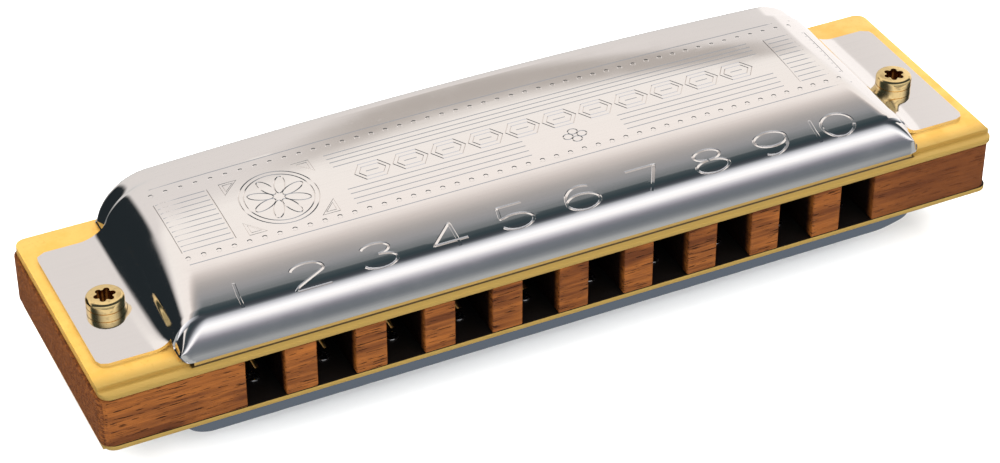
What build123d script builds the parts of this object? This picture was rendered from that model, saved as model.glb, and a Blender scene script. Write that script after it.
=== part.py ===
from build123d import *
from math import atan2, cos, radians, sin, sqrt, tan
import os

# Ten hole diatonic harmonica, millimetres.
# X runs along the holes (hole 1 at -X), the mouth holes face -Y, the numbered cover is up (+Z).
# The origin is the middle of the comb.

# Driving dimensions
hole_count = 10
hole_pitch = 7.5
hole_width = 4.1
body_length = 101.2
body_depth = 27.3
comb_thickness = 5.7
comb_shift = -0.15
plate_shift = 0.15
plate_thickness = 1.0
corner_radius = 1.2
overall_height = 20.0

# Step along the front edge of each reed plate that takes the lip of the cover
step_width = 1.2
step_drop = 0.45

# Covers
sheet = 0.4
lip_half_length = 40.8
lip_front = -12.9
lip_back = -12.4
front_wall_angle = 62.0
end_wall_foot = 41.6
end_wall_angle = 75.0
roof_radius = 130.0
roof_apex = 15.0
crown_start = -6.0
crown_end = 13.0
crown_radius = 750.0
flattest_crown = 100000.0
end_round_front = 3.4
end_round_back = 6.4
shoulder_radius = 1.2
shoulder_back = -10.5
cover_back = 13.3
back_roll = 0.9
back_lip = 1.1
section_depths = [-14, -8, -4, 0, 4, 8, 14.5]
flange_end = 49.3
flange_front = -9.85
flange_back = 9.9
flange_bend = 1.3
flange_corner = 1.0
relief_side = 1.2
relief_run = 2.0

# Cover screws and nuts
screw_x = 45.6
screw_y = -1.3
screw_head = 4.1
screw_head_height = 1.7
screw_head_round = 0.45
screw_shank = 1.9
screw_hole = 2.2
star_outer = 2.3
star_inner = 1.65
star_depth = 0.9
nut_diameter = 4.4
nut_height = 1.5
nut_bore = 2.0
nut_round = 0.4
nut_slot = 0.8
nut_slot_depth = 0.5

# Reed plate screws
plate_screw_head = 3.0
plate_screw_head_height = 0.5
plate_screw_shank = 1.5
plate_screw_hole = 1.6
plate_screw_slot = 0.4
plate_screw_slot_depth = 0.3
plate_screw_turn = 35
plate_screw_places = [(-37.5, 11.2), (0, 11.2), (37.5, 11.2), (-15, -9.6), (15, -9.6)]

# Reeds: the tongues are long and wide at hole 1, short and narrow at hole 10
reed_root = -8.1
reed_thickness = 0.2
reed_lift = 0.03
reed_long = 16.0
reed_short = 10.4
reed_wide = 2.3
reed_narrow = 1.9
slot_side = 0.06
slot_end = 0.15
channel_end = 1.6
pad_length = 2.7
pad_gap = 0.2
pad_thickness = 0.35
pad_side = 0.1
rivet_diameter = 1.1
rivet_hole = 1.15
rivet_head = 1.8
rivet_head_height = 0.3
rivet_head_round = 0.15
rivet_tail = 1.5
rivet_tail_height = 0.22
rivet_tail_round = 0.1

# Heights worked out from the stack
comb_top = comb_thickness / 2
plate_top = comb_top + plate_thickness
flange_top = plate_top + sheet
cover_top = overall_height / 2
pad_middle = reed_root - pad_gap - pad_length / 2

os.makedirs("parts", exist_ok=True)


def hole_x(number):
    """Middle of a mouth hole along the comb, hole 1 first."""
    return (number - (hole_count + 1) / 2) * hole_pitch


def graded(first, last, number):
    """A size that changes evenly from hole 1 to hole 10."""
    return first + (last - first) * (number - 1) / (hole_count - 1)


def tongue_length(number):
    return graded(reed_long, reed_short, number)


def tongue_width(number):
    return graded(reed_wide, reed_narrow, number)


def save(piece, name):
    """Label a finished piece and write its own file."""
    piece.part.label = name
    export_step(piece.part, f"parts/{name}.step")


# Comb: a wooden slab with ten channels cut right through its thickness, open at the front
with BuildPart() as comb:
    with BuildSketch(Plane.XY.offset(-comb_top)):
        with Locations((comb_shift, 0)):
            RectangleRounded(body_length, body_depth, corner_radius)
        for number in range(1, hole_count + 1):
            channel_back = reed_root + tongue_length(number) + channel_end
            channel_front = -body_depth
            with Locations((hole_x(number), (channel_front + channel_back) / 2)):
                Rectangle(hole_width, channel_back - channel_front, mode=Mode.SUBTRACT)
    extrude(amount=comb_thickness)
    with Locations((-screw_x, screw_y), (screw_x, screw_y)):
        Hole(screw_hole / 2)
    with Locations(*plate_screw_places):
        Hole(plate_screw_hole / 2)
save(comb, "comb")


# Reed plates: brass sheets with a slot for each tongue, a rivet hole for each pad
# and a step along the front edge.  The lower plate is the upper one turned over in Z.
def reed_plate(side):
    """One reed plate, side 1 for the upper one and -1 for the lower one."""
    with BuildPart() as plate:
        with BuildSketch(Plane.XY.offset(comb_top)):
            with Locations((plate_shift, 0)):
                RectangleRounded(body_length, body_depth, corner_radius)
            for number in range(1, hole_count + 1):
                slot_front = reed_root - slot_end
                slot_back = reed_root + tongue_length(number) + slot_end
                with Locations((hole_x(number), (slot_front + slot_back) / 2)):
                    Rectangle(
                        tongue_width(number) + 2 * slot_side,
                        slot_back - slot_front,
                        mode=Mode.SUBTRACT,
                    )
                with Locations((hole_x(number), pad_middle)):
                    Circle(rivet_hole / 2, mode=Mode.SUBTRACT)
            with Locations((-screw_x, screw_y), (screw_x, screw_y)):
                Circle(screw_hole / 2, mode=Mode.SUBTRACT)
            with Locations(*plate_screw_places):
                Circle(plate_screw_hole / 2, mode=Mode.SUBTRACT)
        extrude(amount=plate_thickness)
        with BuildSketch(Plane.XY.offset(plate_top)):
            with Locations((plate_shift, -body_depth / 2)):
                Rectangle(2 * body_length, 2 * step_width)
        extrude(amount=-step_drop, mode=Mode.SUBTRACT)
        if side < 0:
            mirror(about=Plane.XY, mode=Mode.REPLACE)
    return plate


save(reed_plate(1), "top_reed_plate")
save(reed_plate(-1), "bottom_reed_plate")


# Covers: a thin pressed shell.  Cross sections along X change from front to back:
# the roof is level at the front, and crowned with rounder ends at the back.
def crown_share(y):
    """How much of the back crown is present at this depth, from 0 to 1."""
    share = min(max((y - crown_start) / (crown_end - crown_start), 0), 1)
    return share * share


def roof_height(y):
    """Height of the outer roof at the middle of the cover."""
    return cover_top - (roof_apex - y) ** 2 / (2 * roof_radius)


def end_round(y):
    """Radius between the roof and the end wall at this depth."""
    return end_round_front + (end_round_back - end_round_front) * crown_share(y)


def cross_section(y, inset, base):
    """One closed cross section of the cover on the plane at depth y, inset by the sheet or not at all."""
    slope = radians(end_wall_angle)
    roof = roof_height(y) - inset
    crown = 1 / (crown_share(y) / crown_radius + 1 / flattest_crown) - inset
    corner = end_round(y) - inset
    foot = end_wall_foot - inset / sin(slope)
    # The corner arc touches the wall from inside and the crown arc from below
    start_x = foot - corner * sin(slope)
    start_z = plate_top - corner * cos(slope) - (roof - crown)
    along = start_z * sin(slope) - start_x * cos(slope)
    travel = sqrt(along**2 - start_x**2 - start_z**2 + (crown - corner) ** 2) - along
    wall = (foot - travel * cos(slope), plate_top + travel * sin(slope))
    centre = (wall[0] - corner * sin(slope), wall[1] - corner * cos(slope))
    reach = crown / (crown - corner)
    shoulder = (centre[0] * reach, roof - crown + (centre[1] - roof + crown) * reach)
    half_way = (radians(90) - slope + atan2(shoulder[1] - centre[1], shoulder[0] - centre[0])) / 2
    middle = (centre[0] + corner * cos(half_way), centre[1] + corner * sin(half_way))
    base_x = foot + (plate_top - base) / tan(slope)
    with BuildSketch(Plane.XZ.offset(-y)) as section:
        with BuildLine():
            Line((-base_x, base), (base_x, base))
            Line((base_x, base), wall)
            ThreePointArc(wall, middle, shoulder)
            ThreePointArc(shoulder, (0, roof), (-shoulder[0], shoulder[1]))
            ThreePointArc((-shoulder[0], shoulder[1]), (-middle[0], middle[1]), (-wall[0], wall[1]))
            Line((-wall[0], wall[1]), (-base_x, base))
        make_face()
    return section.sketch


def front_profile(inset, base, back):
    """Side outline of the front wall, taller than the cover, to cut the cross sections with."""
    slope = radians(front_wall_angle)
    front = lip_front + inset
    bend = plate_top + inset * (1 - cos(slope)) / sin(slope)
    rise = cover_top - plate_top
    with BuildSketch(Plane.YZ) as profile:
        with BuildLine():
            Polyline(
                (front, base),
                (front, bend),
                (front + rise / tan(slope), bend + rise),
                (back, bend + rise),
                (back, base),
                close=True,
            )
        make_face()
    return profile.sketch


def cover_block(inset, base, back):
    """The solid under the outer skin of the cover, or under its inner skin when inset by the sheet."""
    with BuildPart() as block:
        for y in section_depths:
            add(cross_section(y, inset, base))
        loft()
        extrude(front_profile(inset, base, back), amount=body_length / 2, both=True, mode=Mode.INTERSECT)
        front_edges = block.edges().filter_by_position(Axis.Y, lip_front + inset + 0.01, shoulder_back)
        shoulder_edges = front_edges.filter_by(lambda edge: edge.center().Z > plate_top + 0.3)
        fillet(shoulder_edges, shoulder_radius - inset)
        back_edges = block.edges().filter_by_position(Axis.Y, back - 0.001, back + 0.001)
        roof_edges = back_edges.filter_by(lambda edge: edge.center().Z > plate_top + 1)
        fillet(roof_edges, back_roll - inset)
    return block.part


lip_bottom = plate_top - step_drop
bend_rise = 2 * flange_bend
with BuildPart() as top_cover:
    add(cover_block(0, lip_bottom, cover_back))
    # flanges on the reed plate at both ends, with a bend up into the end walls
    with BuildSketch(Plane.XY.offset(plate_top)):
        with BuildLine():
            Polyline(
                (end_wall_foot - relief_side, flange_back + 1),
                (end_wall_foot + relief_side, flange_back),
                (flange_end, flange_back),
                (flange_end, flange_front),
                (end_wall_foot + relief_side, flange_front),
                (end_wall_foot - relief_side, flange_front - relief_run),
                close=True,
            )
        flange_face = make_face()
        outer_corners = flange_face.vertices().group_by(Axis.X)[-1]
        fillet(outer_corners, flange_corner)
        mirror(about=Plane.YZ)
    extrude(amount=sheet)
    with BuildSketch(Plane.XZ.offset(-flange_back)):
        with BuildLine():
            Polyline(
                (end_wall_foot - sheet, plate_top),
                (end_wall_foot + 2 * flange_bend, plate_top),
                (end_wall_foot + 2 * flange_bend, flange_top),
                (end_wall_foot - sheet / tan(radians(end_wall_angle)), flange_top),
                (end_wall_foot - (sheet + bend_rise) / tan(radians(end_wall_angle)), flange_top + bend_rise),
                close=True,
            )
        bend_face = make_face()
        inner_corner = bend_face.vertices().group_by(Axis.Y)[1].sort_by(Axis.X)[0]
        fillet(inner_corner, flange_bend)
        mirror(about=Plane.YZ)
    extrude(amount=flange_back - flange_front)
    # hollow, open underneath and at the back, where a rolled edge stands round the opening
    add(cover_block(sheet, lip_bottom - 1, cover_back - sheet), mode=Mode.SUBTRACT)
    back_opening = cross_section(cover_back, back_lip, lip_bottom - 1)
    extrude(back_opening, amount=-2 * sheet, both=True, mode=Mode.SUBTRACT)
    # the lip stands in the step of the reed plate only between the relief cuts at the front corners
    with BuildSketch(Plane.XY.offset(plate_top)):
        with Locations((lip_half_length + body_depth, 0), (-lip_half_length - body_depth, 0)):
            Rectangle(2 * body_depth, 2 * body_depth)
        with Locations((0, lip_back + body_depth)):
            Rectangle(body_length, 2 * body_depth)
    extrude(amount=-2 * step_drop, mode=Mode.SUBTRACT)
    with Locations((-screw_x, screw_y, flange_top), (screw_x, screw_y, flange_top)):
        Hole(screw_hole / 2, depth=2 * sheet)
save(top_cover, "top_cover")

with BuildPart() as bottom_cover:
    mirror(top_cover.part, about=Plane.XY)
save(bottom_cover, "bottom_cover")


# Cover screws: round heads with a six lobed recess, one at each end
def cover_screw(x):
    with BuildPart() as screw:
        with BuildSketch(Plane.XY.offset(flange_top)):
            with Locations((x, screw_y)):
                Circle(screw_head / 2)
        extrude(amount=screw_head_height)
        fillet(screw.edges().group_by(Axis.Z)[-1], screw_head_round)
        lobe = (star_outer - star_inner) / 2
        with BuildSketch(Plane.XY.offset(flange_top + screw_head_height)):
            with Locations((x, screw_y)):
                Circle(star_inner / 2)
                with PolarLocations(star_outer / 2 - lobe, 6):
                    Circle(lobe)
        extrude(amount=-star_depth, mode=Mode.SUBTRACT)
        with BuildSketch(Plane.XY.offset(flange_top)):
            with Locations((x, screw_y)):
                Circle(screw_shank / 2)
        extrude(amount=-2 * flange_top - nut_height)
    return screw


# Cover nuts: slotted round nuts on the lower cover's flanges
def cover_nut(x):
    with BuildPart() as nut:
        with BuildSketch(Plane.XY.offset(-flange_top)):
            with Locations((x, screw_y)):
                Circle(nut_diameter / 2)
                Circle(nut_bore / 2, mode=Mode.SUBTRACT)
        extrude(amount=-nut_height)
        fillet(nut.edges().group_by(Axis.Z)[0].sort_by(SortBy.RADIUS)[-1], nut_round)
        with BuildSketch(Plane.XY.offset(-flange_top - nut_height)):
            with Locations((x, screw_y)):
                Rectangle(nut_slot, 2 * nut_diameter)
        extrude(amount=nut_slot_depth, mode=Mode.SUBTRACT)
    return nut


for side_name, side in (("left", -1), ("right", 1)):
    save(cover_screw(side * screw_x), f"cover_screw_{side_name}")
    save(cover_nut(side * screw_x), f"cover_nut_{side_name}")


# Reed plate screws: five slotted screws that hold both plates on the comb
with BuildPart() as reed_plate_screws:
    with BuildSketch(Plane.XY.offset(plate_top)):
        with Locations(*plate_screw_places):
            Circle(plate_screw_head / 2)
    extrude(amount=plate_screw_head_height)
    with BuildSketch(Plane.XY.offset(plate_top + plate_screw_head_height)):
        with Locations(*plate_screw_places):
            Rectangle(2 * plate_screw_head, plate_screw_slot, rotation=plate_screw_turn)
    extrude(amount=-plate_screw_slot_depth, mode=Mode.SUBTRACT)
    with BuildSketch(Plane.XY.offset(plate_top)):
        with Locations(*plate_screw_places):
            Circle(plate_screw_shank / 2)
    extrude(amount=-2 * plate_top)
save(reed_plate_screws, "reed_plate_screws")


# Reeds: each has a pad riveted to the plate and a tongue that swings through its slot.
# Blow reeds are under the upper plate, in the channels; draw reeds are under the lower plate.
def reed_pads(face):
    """Ten pads below the given face height."""
    with BuildPart() as pads:
        with BuildSketch(Plane.XY.offset(face)):
            for number in range(1, hole_count + 1):
                with Locations((hole_x(number), pad_middle)):
                    Rectangle(tongue_width(number) + 2 * pad_side, pad_length)
                    Circle(rivet_hole / 2, mode=Mode.SUBTRACT)
        extrude(amount=-pad_thickness)
    return pads


def rivets(face):
    """Ten rivets through pads below the given face height, with their tails on top of the plate."""
    places = [(hole_x(number), pad_middle) for number in range(1, hole_count + 1)]
    with BuildPart() as row:
        with BuildSketch(Plane.XY.offset(face - pad_thickness)):
            with Locations(*places):
                Circle(rivet_head / 2)
        extrude(amount=-rivet_head_height)
        fillet(row.edges().group_by(Axis.Z)[0], rivet_head_round)
        with BuildSketch(Plane.XY.offset(face - pad_thickness)):
            with Locations(*places):
                Circle(rivet_diameter / 2)
        extrude(amount=pad_thickness + plate_thickness)
        with BuildSketch(Plane.XY.offset(face + plate_thickness)):
            with Locations(*places):
                Circle(rivet_tail / 2)
        extrude(amount=rivet_tail_height)
        fillet(row.edges().group_by(Axis.Z)[-1], rivet_tail_round)
    return row


def reed_tongue(number, face):
    """One tongue below the given face, with a round root about the line it swings on."""
    middle = face - reed_lift - reed_thickness / 2
    half = reed_thickness / 2
    tip = reed_root + tongue_length(number)
    with BuildPart() as tongue:
        with BuildSketch(Plane.YZ.offset(hole_x(number))):
            with BuildLine():
                ThreePointArc((reed_root, middle + half), (reed_root - half, middle), (reed_root, middle - half))
                Line((reed_root, middle - half), (tip, middle - half))
                Line((tip, middle - half), (tip, middle + half))
                Line((tip, middle + half), (reed_root, middle + half))
            make_face()
        extrude(amount=tongue_width(number) / 2, both=True)
    return tongue


for set_name, face in (("blow", comb_top), ("draw", -plate_top)):
    save(reed_pads(face), f"{set_name}_reed_pads")
    save(rivets(face), f"{set_name}_rivets")
    for number in range(1, hole_count + 1):
        save(reed_tongue(number, face), f"{set_name}_reed_{number}")
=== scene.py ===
import math

import bmesh
import bpy
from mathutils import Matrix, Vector


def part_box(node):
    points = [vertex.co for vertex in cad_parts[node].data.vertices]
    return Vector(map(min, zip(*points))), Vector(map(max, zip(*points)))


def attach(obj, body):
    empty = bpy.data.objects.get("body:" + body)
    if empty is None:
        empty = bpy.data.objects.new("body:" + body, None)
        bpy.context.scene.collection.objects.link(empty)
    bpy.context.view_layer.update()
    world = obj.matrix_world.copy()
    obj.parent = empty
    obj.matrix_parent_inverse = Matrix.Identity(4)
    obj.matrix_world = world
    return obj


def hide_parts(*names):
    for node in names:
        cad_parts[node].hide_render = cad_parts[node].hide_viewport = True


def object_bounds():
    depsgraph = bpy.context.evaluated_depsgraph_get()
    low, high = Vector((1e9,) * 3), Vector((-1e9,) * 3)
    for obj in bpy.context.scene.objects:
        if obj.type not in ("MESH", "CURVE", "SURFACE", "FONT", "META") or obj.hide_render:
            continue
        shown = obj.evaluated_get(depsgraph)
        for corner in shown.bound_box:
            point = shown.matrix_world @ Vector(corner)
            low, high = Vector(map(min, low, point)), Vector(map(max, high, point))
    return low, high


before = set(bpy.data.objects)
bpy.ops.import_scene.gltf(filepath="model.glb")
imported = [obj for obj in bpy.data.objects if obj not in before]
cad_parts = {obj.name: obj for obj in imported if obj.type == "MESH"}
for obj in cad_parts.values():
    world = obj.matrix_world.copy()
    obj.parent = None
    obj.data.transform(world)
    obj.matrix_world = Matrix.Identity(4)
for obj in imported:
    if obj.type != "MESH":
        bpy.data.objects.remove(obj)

bl_info = {
    "name": "Ten Hole Harmonica",
    "version": (1, 0, 0),
    "blender": (4, 5, 0),
    "location": "3D Viewport > Sidebar > Harmonica",
    "description": "Builds a wooden comb harmonica with brass reed plates and engraved steel covers",
    "category": "Add Mesh",
}

MM = 0.001
BODY = "body"
CAD_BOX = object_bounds()
COMB_LOW, COMB_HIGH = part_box("comb")
PLATE_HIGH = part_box("top_reed_plate")[1]
COVER_LOW, COVER_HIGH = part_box("top_cover")
HEAD_LOW, HEAD_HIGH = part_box("cover_screw_left")
NUT_LOW, NUT_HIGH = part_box("cover_nut_left")
SCREW_X = (HEAD_LOW.x + HEAD_HIGH.x) / -2
SCREW_Y = (HEAD_LOW.y + HEAD_HIGH.y) / 2
HOLES = 10
HOLE_MIDDLES = [
    (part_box(f"blow_reed_{number}")[0].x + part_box(f"blow_reed_{number}")[1].x) / 2
    for number in range(1, HOLES + 1)
]


# ---------------------------------------------------------------------------
# Sizes and colours that a user would change
# ---------------------------------------------------------------------------


def length(name, description, default):
    return bpy.props.FloatProperty(
        name=name, description=description, default=default, unit="LENGTH", precision=5
    )


def colour(name, description, default):
    return bpy.props.FloatVectorProperty(
        name=name, description=description, default=default, subtype="COLOR", size=3, min=0, max=1
    )


class HarmonicaSizes(bpy.types.PropertyGroup):
    sheet: length("Cover sheet", "Thickness of the pressed cover", 0.4 * MM)
    hole_width: length("Hole width", "Width of a mouth hole", 4.1 * MM)
    numeral_width: length("Numeral width", "Width of an engraved numeral", 3.75 * MM)
    numeral_groove: length("Numeral groove", "Depth of a numeral's groove", 0.07 * MM)
    numeral_flat: length("Numeral flat", "Half width of the flat bottom of a numeral's groove", 0.13 * MM)
    line_groove: length("Line groove", "Half width of an engraved line", 0.065 * MM)
    dot: length("Dot", "Radius of a punched dot", 0.40 * MM)
    dot_pitch: length("Dot pitch", "Distance between punched dots", 1.62 * MM)
    wood_round: length("Wood edge", "Rounding of the comb's edges", 0.18 * MM)
    brass_round: length("Brass edge", "Rounding of the reed plates' edges", 0.07 * MM)


class HarmonicaColours(bpy.types.PropertyGroup):
    steel: colour("Steel", "Polished cover steel", (0.86, 0.83, 0.81))
    brass: colour("Brass", "Rolled plate brass", (0.84, 0.51, 0.125))
    screw: colour("Screw", "Turned screw brass", (0.86, 0.64, 0.30))
    reed: colour("Reed", "Spring brass of the reeds", (0.80, 0.60, 0.27))
    wood: colour("Wood", "Light tone of the comb", (0.165, 0.052, 0.009))
    wood_dark: colour("Dark wood", "Dark tone of the comb", (0.062, 0.017, 0.004))
    floor: colour("Floor", "Pale studio floor", (0.92, 0.92, 0.91))


def sizes():
    return bpy.context.scene.harmonica_sizes


def colours():
    return bpy.context.scene.harmonica_colours


# ---------------------------------------------------------------------------
# Shader maths
# ---------------------------------------------------------------------------


class Field:
    """A value that changes over a surface, used like a number."""

    def __init__(self, net, socket):
        self.net = net
        self.socket = socket

    def math(self, operation, *values):
        return self.net.node("ShaderNodeMath", {"operation": operation}, *values)

    def __add__(self, other):
        return self.math("ADD", self, other)

    __radd__ = __add__

    def __mul__(self, other):
        return self.math("MULTIPLY", self, other)

    __rmul__ = __mul__

    def __sub__(self, other):
        return self.math("SUBTRACT", self, other)

    def __rsub__(self, other):
        return self.math("SUBTRACT", other, self)

    def __truediv__(self, other):
        return self.math("DIVIDE", self, other)

    def __pow__(self, other):
        return self.math("POWER", self, other)

    def __abs__(self):
        return self.math("ABSOLUTE", self)

    def step(self, low, high):
        """0 below low, 1 above high, smooth between."""
        return self.net.node(
            "ShaderNodeMapRange", {"interpolation_type": "SMOOTHSTEP"}, self, low, high, 0.0, 1.0
        )


class Net:
    """The node tree of a material or of the world."""

    def __init__(self, tree):
        self.tree = tree
        tree.nodes.clear()

    def node(self, kind, settings, *values, out=0, **named):
        """One node: its settings first, then the values or links of its sockets."""
        made = self.tree.nodes.new(kind)
        for key, value in settings.items():
            setattr(made, key, value)
        targets = list(zip([s for s in made.inputs if s.enabled], values))
        targets += [(made.inputs[key.replace("_", " ")], value) for key, value in named.items()]
        for socket, value in targets:
            if isinstance(value, Field):
                self.tree.links.new(value.socket, socket)
            elif value is not None:
                socket.default_value = value
        outputs = [s for s in made.outputs if s.enabled]
        return Field(self, outputs[out])

    def ramp(self, factor, stops):
        """A colour ramp with (place, colour) stops."""
        made = self.tree.nodes.new("ShaderNodeValToRGB")
        stretch = made.color_ramp
        stretch.elements.remove(stretch.elements[1])
        stretch.elements[0].position = stops[0][0]
        stretch.elements[0].color = (*stops[0][1], 1)
        for place, tone in stops[1:]:
            stretch.elements.new(place).color = (*tone, 1)
        self.tree.links.new(factor.socket, made.inputs[0])
        return Field(self, made.outputs[0])

    def place(self, scale=(1, 1, 1), offset=(0, 0, 0)):
        """Object coordinates, stretched."""
        coordinates = self.node("ShaderNodeTexCoord", {}, out=3)
        return self.node("ShaderNodeMapping", {}, coordinates, offset, (0, 0, 0), scale)

    def split(self, vector):
        """The three parts of a vector."""
        made = self.tree.nodes.new("ShaderNodeSeparateXYZ")
        self.tree.links.new(vector.socket, made.inputs[0])
        return [Field(self, output) for output in made.outputs]

    def noise(self, vector, detail=3.0, rough=0.5):
        return self.node(
            "ShaderNodeTexNoise", {}, Vector=vector, Scale=1.0, Detail=detail, Roughness=rough
        )

    def mix(self, factor, first, second):
        """One colour laid over another by a factor."""
        made = self.tree.nodes.new("ShaderNodeMix")
        made.data_type = "RGBA"
        for socket, value in ((made.inputs[0], factor), (made.inputs[6], first), (made.inputs[7], second)):
            if isinstance(value, Field):
                self.tree.links.new(value.socket, socket)
            elif isinstance(value, (tuple, list)):
                socket.default_value = (*value, 1)
            else:
                socket.default_value = value
        return Field(self, made.outputs[2])

    def bump(self, height, strength, distance):
        return self.node(
            "ShaderNodeBump", {}, Strength=strength, Distance=distance, Height=height
        )


def surface(name, recipe):
    """A material whose recipe gives the shader's constants and its changing inputs."""
    finish = f"{name}_finish"
    if finish in bpy.data.materials:
        return bpy.data.materials[finish]
    material = bpy.data.materials.new(finish)
    material.use_nodes = True
    net = Net(material.node_tree)
    shader = net.tree.nodes.new("ShaderNodeBsdfPrincipled")
    output = net.tree.nodes.new("ShaderNodeOutputMaterial")
    net.tree.links.new(shader.outputs[0], output.inputs[0])
    for key, value in recipe(net).items():
        if isinstance(value, Field):
            net.tree.links.new(value.socket, shader.inputs[key])
        else:
            shader.inputs[key].default_value = value
    return material


# Where the finishes, the painted shade and the painted shadow change: (from, to)
# Painted shade on the faces of the reed plates that close the channels
CHANNEL_FACE = (2.86 * MM, 2.90 * MM)
# Painted shade along the front of the reed plates, standing in for a darker reflection
FRONT_PAINTED_SHADE = (-12.9 * MM, -10.2 * MM)
# Painted shadow on the plate just in front of the cover's lip
LIP_SHADOW = (-13.08 * MM, -12.98 * MM)
LIP_SHADOW_ENDS = (40.9 * MM, 41.2 * MM)
LIP_SHADOW_TOP = (PLATE_HIGH.z - 0.3 * MM, PLATE_HIGH.z - 0.2 * MM)
COMB_ENDS = (50.25 * MM, 50.4 * MM)
# Painted shade inside the comb's channels
CHANNEL_FRONT = (-13.5 * MM, -12.4 * MM)
CHANNEL_BACK = (12.8 * MM, 13.0 * MM)
CHANNEL_SIDES = (40 * MM, 41 * MM)
# The comb's wood darkens towards its right end
RIGHT_DARKENING_SPAN = (22 * MM, 46 * MM)
# Painted shade inside the screw heads' recess
RECESS_WALL = (1.14 * MM, 1.2 * MM)
RECESS_TOP = (HEAD_HIGH.z - 0.36 * MM, HEAD_HIGH.z - 0.24 * MM)
BRASS_IN_SHADE = (0.002, 0.001, 0.0005)
WOOD_IN_SHADE = (0.002, 0.001, 0.001)
# Tone of the painted shadow under the cover's lip
LIP_SHADOW_TONE = (0.035, 0.022, 0.010)
RECESS_SHADE_TONE = (0.20, 0.085, 0.028)
RIVET_TONE = (0.62, 0.61, 0.60)
RIVET_DULL = (0.40, 0.39, 0.38)


def tinted(tone, *shares):
    """A tone with its red, green and blue scaled, or all three by one share."""
    red, green, blue = shares if len(shares) == 3 else shares * 3
    return (tone[0] * red, tone[1] * green, tone[2] * blue)


def steel_recipe(net):
    """Polished stainless steel with faint brushing along the comb."""
    tone = tuple(colours().steel)
    streaks = net.noise(net.place((60, 5200, 5200)), detail=4.0, rough=0.6)
    smears = net.noise(net.place((220, 260, 260)), detail=3.0)
    scuffs = net.noise(net.place((900, 2600, 2600)), detail=2.0).step(0.68, 0.80)
    rough = 0.060 + streaks.step(0.45, 0.75) * 0.025 + smears.step(0.45, 0.8) * 0.04 + scuffs * 0.05
    shade = net.mix(streaks.step(0.35, 0.7) * 0.25, tone, tinted(tone, 0.93))
    return {
        "Base Color": shade,
        "Metallic": 1.0,
        "Roughness": rough,
        "Normal": net.bump(streaks * 0.4 + smears, 0.04, 0.00002),
    }


def brass_recipe(net):
    """Rolled brass sheet, a little mottled, with painted shade on the faces that close the channels, a
    painted darker reflection along its front and a painted shadow under the cover's lip.
    """
    tone = tuple(colours().brass)
    clouds = net.noise(net.place((420, 420, 420)), detail=4.0, rough=0.65)
    rolling = net.noise(net.place((90, 3800, 3800)), detail=3.0)
    spots = net.noise(net.place((2400, 2400, 2400)), detail=2.0).step(0.60, 0.74)
    x, y, z = net.split(net.place())
    # Painted shade: the faces that close the channels are made dark, less metallic and rougher, as if no
    # light reached them.
    inner = 1 - abs(z).step(*CHANNEL_FACE)
    shade = net.mix(clouds.step(0.35, 0.7), tone, tinted(tone, 0.95, 0.90, 0.75))
    shade = net.mix(spots * 0.22, shade, tinted(tone, 0.68, 0.56, 0.42))
    # Painted shade: the front strip of the plates is coloured darker, standing in for a darker reflection.
    front_shade = 1 - y.step(*FRONT_PAINTED_SHADE)
    shade = net.mix(front_shade * 0.9, shade, tinted(tone, 0.50, 0.54, 0.60))
    # Painted shadow: a dark strip on the plate where the cover's lip stands over it.
    lip_shadow = y.step(*LIP_SHADOW) * (1 - abs(x).step(*LIP_SHADOW_ENDS)) * (1 - abs(z).step(*LIP_SHADOW_TOP))
    shade = net.mix(lip_shadow * 0.9, shade, LIP_SHADOW_TONE)
    shade = net.mix(inner, shade, BRASS_IN_SHADE)
    return {
        "Base Color": shade,
        "Metallic": 0.70 - inner * 0.6,
        "Roughness": 0.30 + clouds.step(0.3, 0.8) * 0.14 + spots * 0.12 + inner * 0.3,
        "Normal": net.bump(rolling + clouds * 0.7, 0.15, 0.00003),
    }


def wood_recipe(net):
    """Reddish hardwood: grain and pores run along the comb, its ends are darker, it darkens towards the
    right end, and its channels have painted shade.
    """
    light = tuple(colours().wood)
    dark = tuple(colours().wood_dark)
    bands = net.noise(net.place((45, 700, 1100), (0.3, 0.1, 0.7)), detail=4.0, rough=0.6)
    fibres = net.noise(net.place((300, 8200, 8200)), detail=3.0, rough=0.65)
    pores = net.noise(net.place((480, 4200, 5600), (0.9, 0.2, 0.4)), detail=2.0, rough=0.5)
    pores = pores.step(0.59, 0.66)
    flame = net.noise(net.place((150, 420, 560), (0.5, 0.8, 0.2)), detail=2.0)
    end_grain = net.noise(net.place((2500, 2600, 5200)), detail=4.0, rough=0.7)
    x, y, z = net.split(net.place())
    ends = abs(x).step(*COMB_ENDS)
    # Painted shade: the channel walls are made almost black, as if no light reached into them.
    inside = y.step(*CHANNEL_FRONT) * (1 - y.step(*CHANNEL_BACK)) * (1 - abs(x).step(*CHANNEL_SIDES))
    shade = net.mix(bands.step(0.34, 0.66), light, dark)
    shade = net.mix(flame.step(0.45, 0.75) * 0.5, shade, tinted(light, 1.5, 1.5, 1.3))
    shade = net.mix(fibres.step(0.42, 0.72) * 0.35, shade, tinted(dark, 0.5))
    shade = net.mix(pores * 0.9, shade, tinted(dark, 0.18))
    rough_end = net.mix(end_grain.step(0.38, 0.66), tinted(dark, 0.55, 0.5, 0.8), light)
    shade = net.mix(ends * 0.8, shade, rough_end)
    # Darker towards the right end of the comb.
    right_darkening = x.step(*RIGHT_DARKENING_SPAN) * (1 - ends)
    shade = net.mix(right_darkening * 0.75, shade, dark)
    shade = net.mix(inside * 0.97, shade, WOOD_IN_SHADE)
    return {
        "Base Color": shade,
        "Roughness": 0.45 + fibres * 0.18 + pores * 0.2,
        "Specular IOR Level": 0.10,
        "Normal": net.bump(fibres * 0.5 - pores * 1.2 + ends * end_grain * 2.0, 0.6, 0.00006),
    }


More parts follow.
